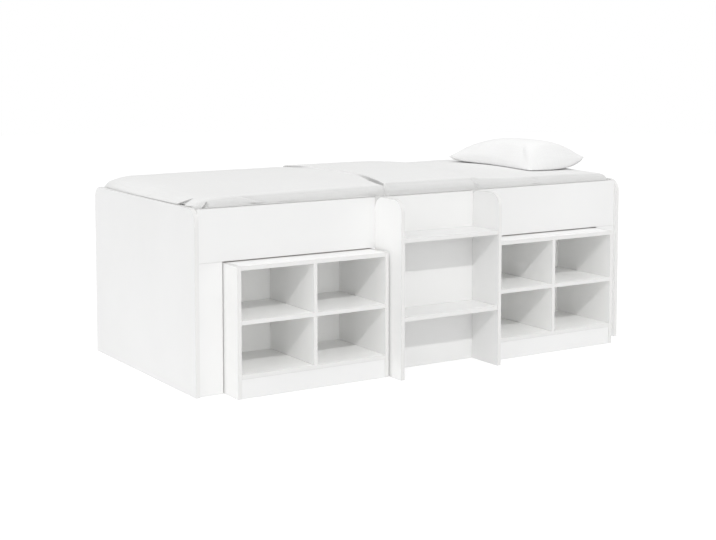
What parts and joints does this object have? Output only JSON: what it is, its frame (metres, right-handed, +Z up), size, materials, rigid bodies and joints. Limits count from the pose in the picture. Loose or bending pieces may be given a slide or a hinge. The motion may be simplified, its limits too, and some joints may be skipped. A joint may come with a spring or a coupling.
{
  "type": "loft bed",
  "caption": "Low white loft bed with slatted base, mattress and pillow, a step unit at the middle and open cube bookcases that slide under it.",
  "frame": {"origin": "on the floor under the middle of the whole bed's length and depth, at rest", "axes": "+X along the bed towards the pillow end, +Y from the step unit towards the wall side, +Z up"},
  "size_m": [2.04, 1.117, 0.8509],
  "materials": {
    "white_board": "white melamine on particle board, satin, fine even texture, edges banded",
    "white_back": "thin white lacquered hardboard, low sheen",
    "pine": "planed untreated pine, matt",
    "zinc_steel": "bright zinc plate",
    "mattress_cover": "plain white cotton cover, matt, with soft folds",
    "pillow_cotton": "plain white cotton pillowcase, matt"
  },
  "bodies": {
    "bed_frame": {"foot_end_panel": "white_board", "front_foot_angle": "zinc_steel", "front_head_angle": "zinc_steel", "front_post_foot": "white_board", "front_post_head": "white_board", "front_rail": "white_board", "front_slat_bearer": "pine", "head_end_panel": "white_board", "lower_tread": "white_board", "rear_foot_angle": "zinc_steel", "rear_head_angle": "zinc_steel", "rear_rail": "white_board", "rear_slat_bearer": "pine", "rear_stretcher": "white_board", "slat_01": "pine", "slat_02": "pine", "slat_03": "pine", "slat_04": "pine", "slat_05": "pine", "slat_06": "pine", "slat_07": "pine", "slat_08": "pine", "slat_09": "pine", "slat_10": "pine", "slat_11": "pine", "slat_12": "pine", "slat_13": "pine", "slat_14": "pine", "step_back": "white_board", "step_side_foot": "white_board", "step_side_head": "white_board", "upper_tread": "white_board"},
    "foot_bookcase": {"foot_bookcase_back": "white_back", "foot_bookcase_bottom": "white_board", "foot_bookcase_foot_side": "white_board", "foot_bookcase_head_side": "white_board", "foot_bookcase_lower_divider": "white_board", "foot_bookcase_plinth": "white_board", "foot_bookcase_shelf": "white_board", "foot_bookcase_top": "white_board", "foot_bookcase_upper_divider": "white_board"},
    "head_bookcase": {"head_bookcase_back": "white_back", "head_bookcase_bottom": "white_board", "head_bookcase_foot_side": "white_board", "head_bookcase_head_side": "white_board", "head_bookcase_lower_divider": "white_board", "head_bookcase_plinth": "white_board", "head_bookcase_shelf": "white_board", "head_bookcase_top": "white_board", "head_bookcase_upper_divider": "white_board"},
    "mattress": {"mattress": "mattress_cover"},
    "pillow": {"pillow": "pillow_cotton"}
  },
  "joints": [
    {"name": "foot_bookcase_slide", "type": "slide", "parent": "bed_frame", "child": "foot_bookcase", "axis": [0, -1, 0], "range_m": [-0.11, 0.25]},
    {"name": "head_bookcase_slide", "type": "slide", "parent": "bed_frame", "child": "head_bookcase", "axis": [0, -1, 0], "range_m": [-0.11, 0.25]},
    {"name": "mattress_lift", "type": "slide", "parent": "bed_frame", "child": "mattress", "axis": [0, 0, 1], "range_m": [0, 0.3]},
    {"name": "pillow_lift", "type": "slide", "parent": "mattress", "child": "pillow", "axis": [0, 0, 1], "range_m": [0, 0.25]}
  ]
}
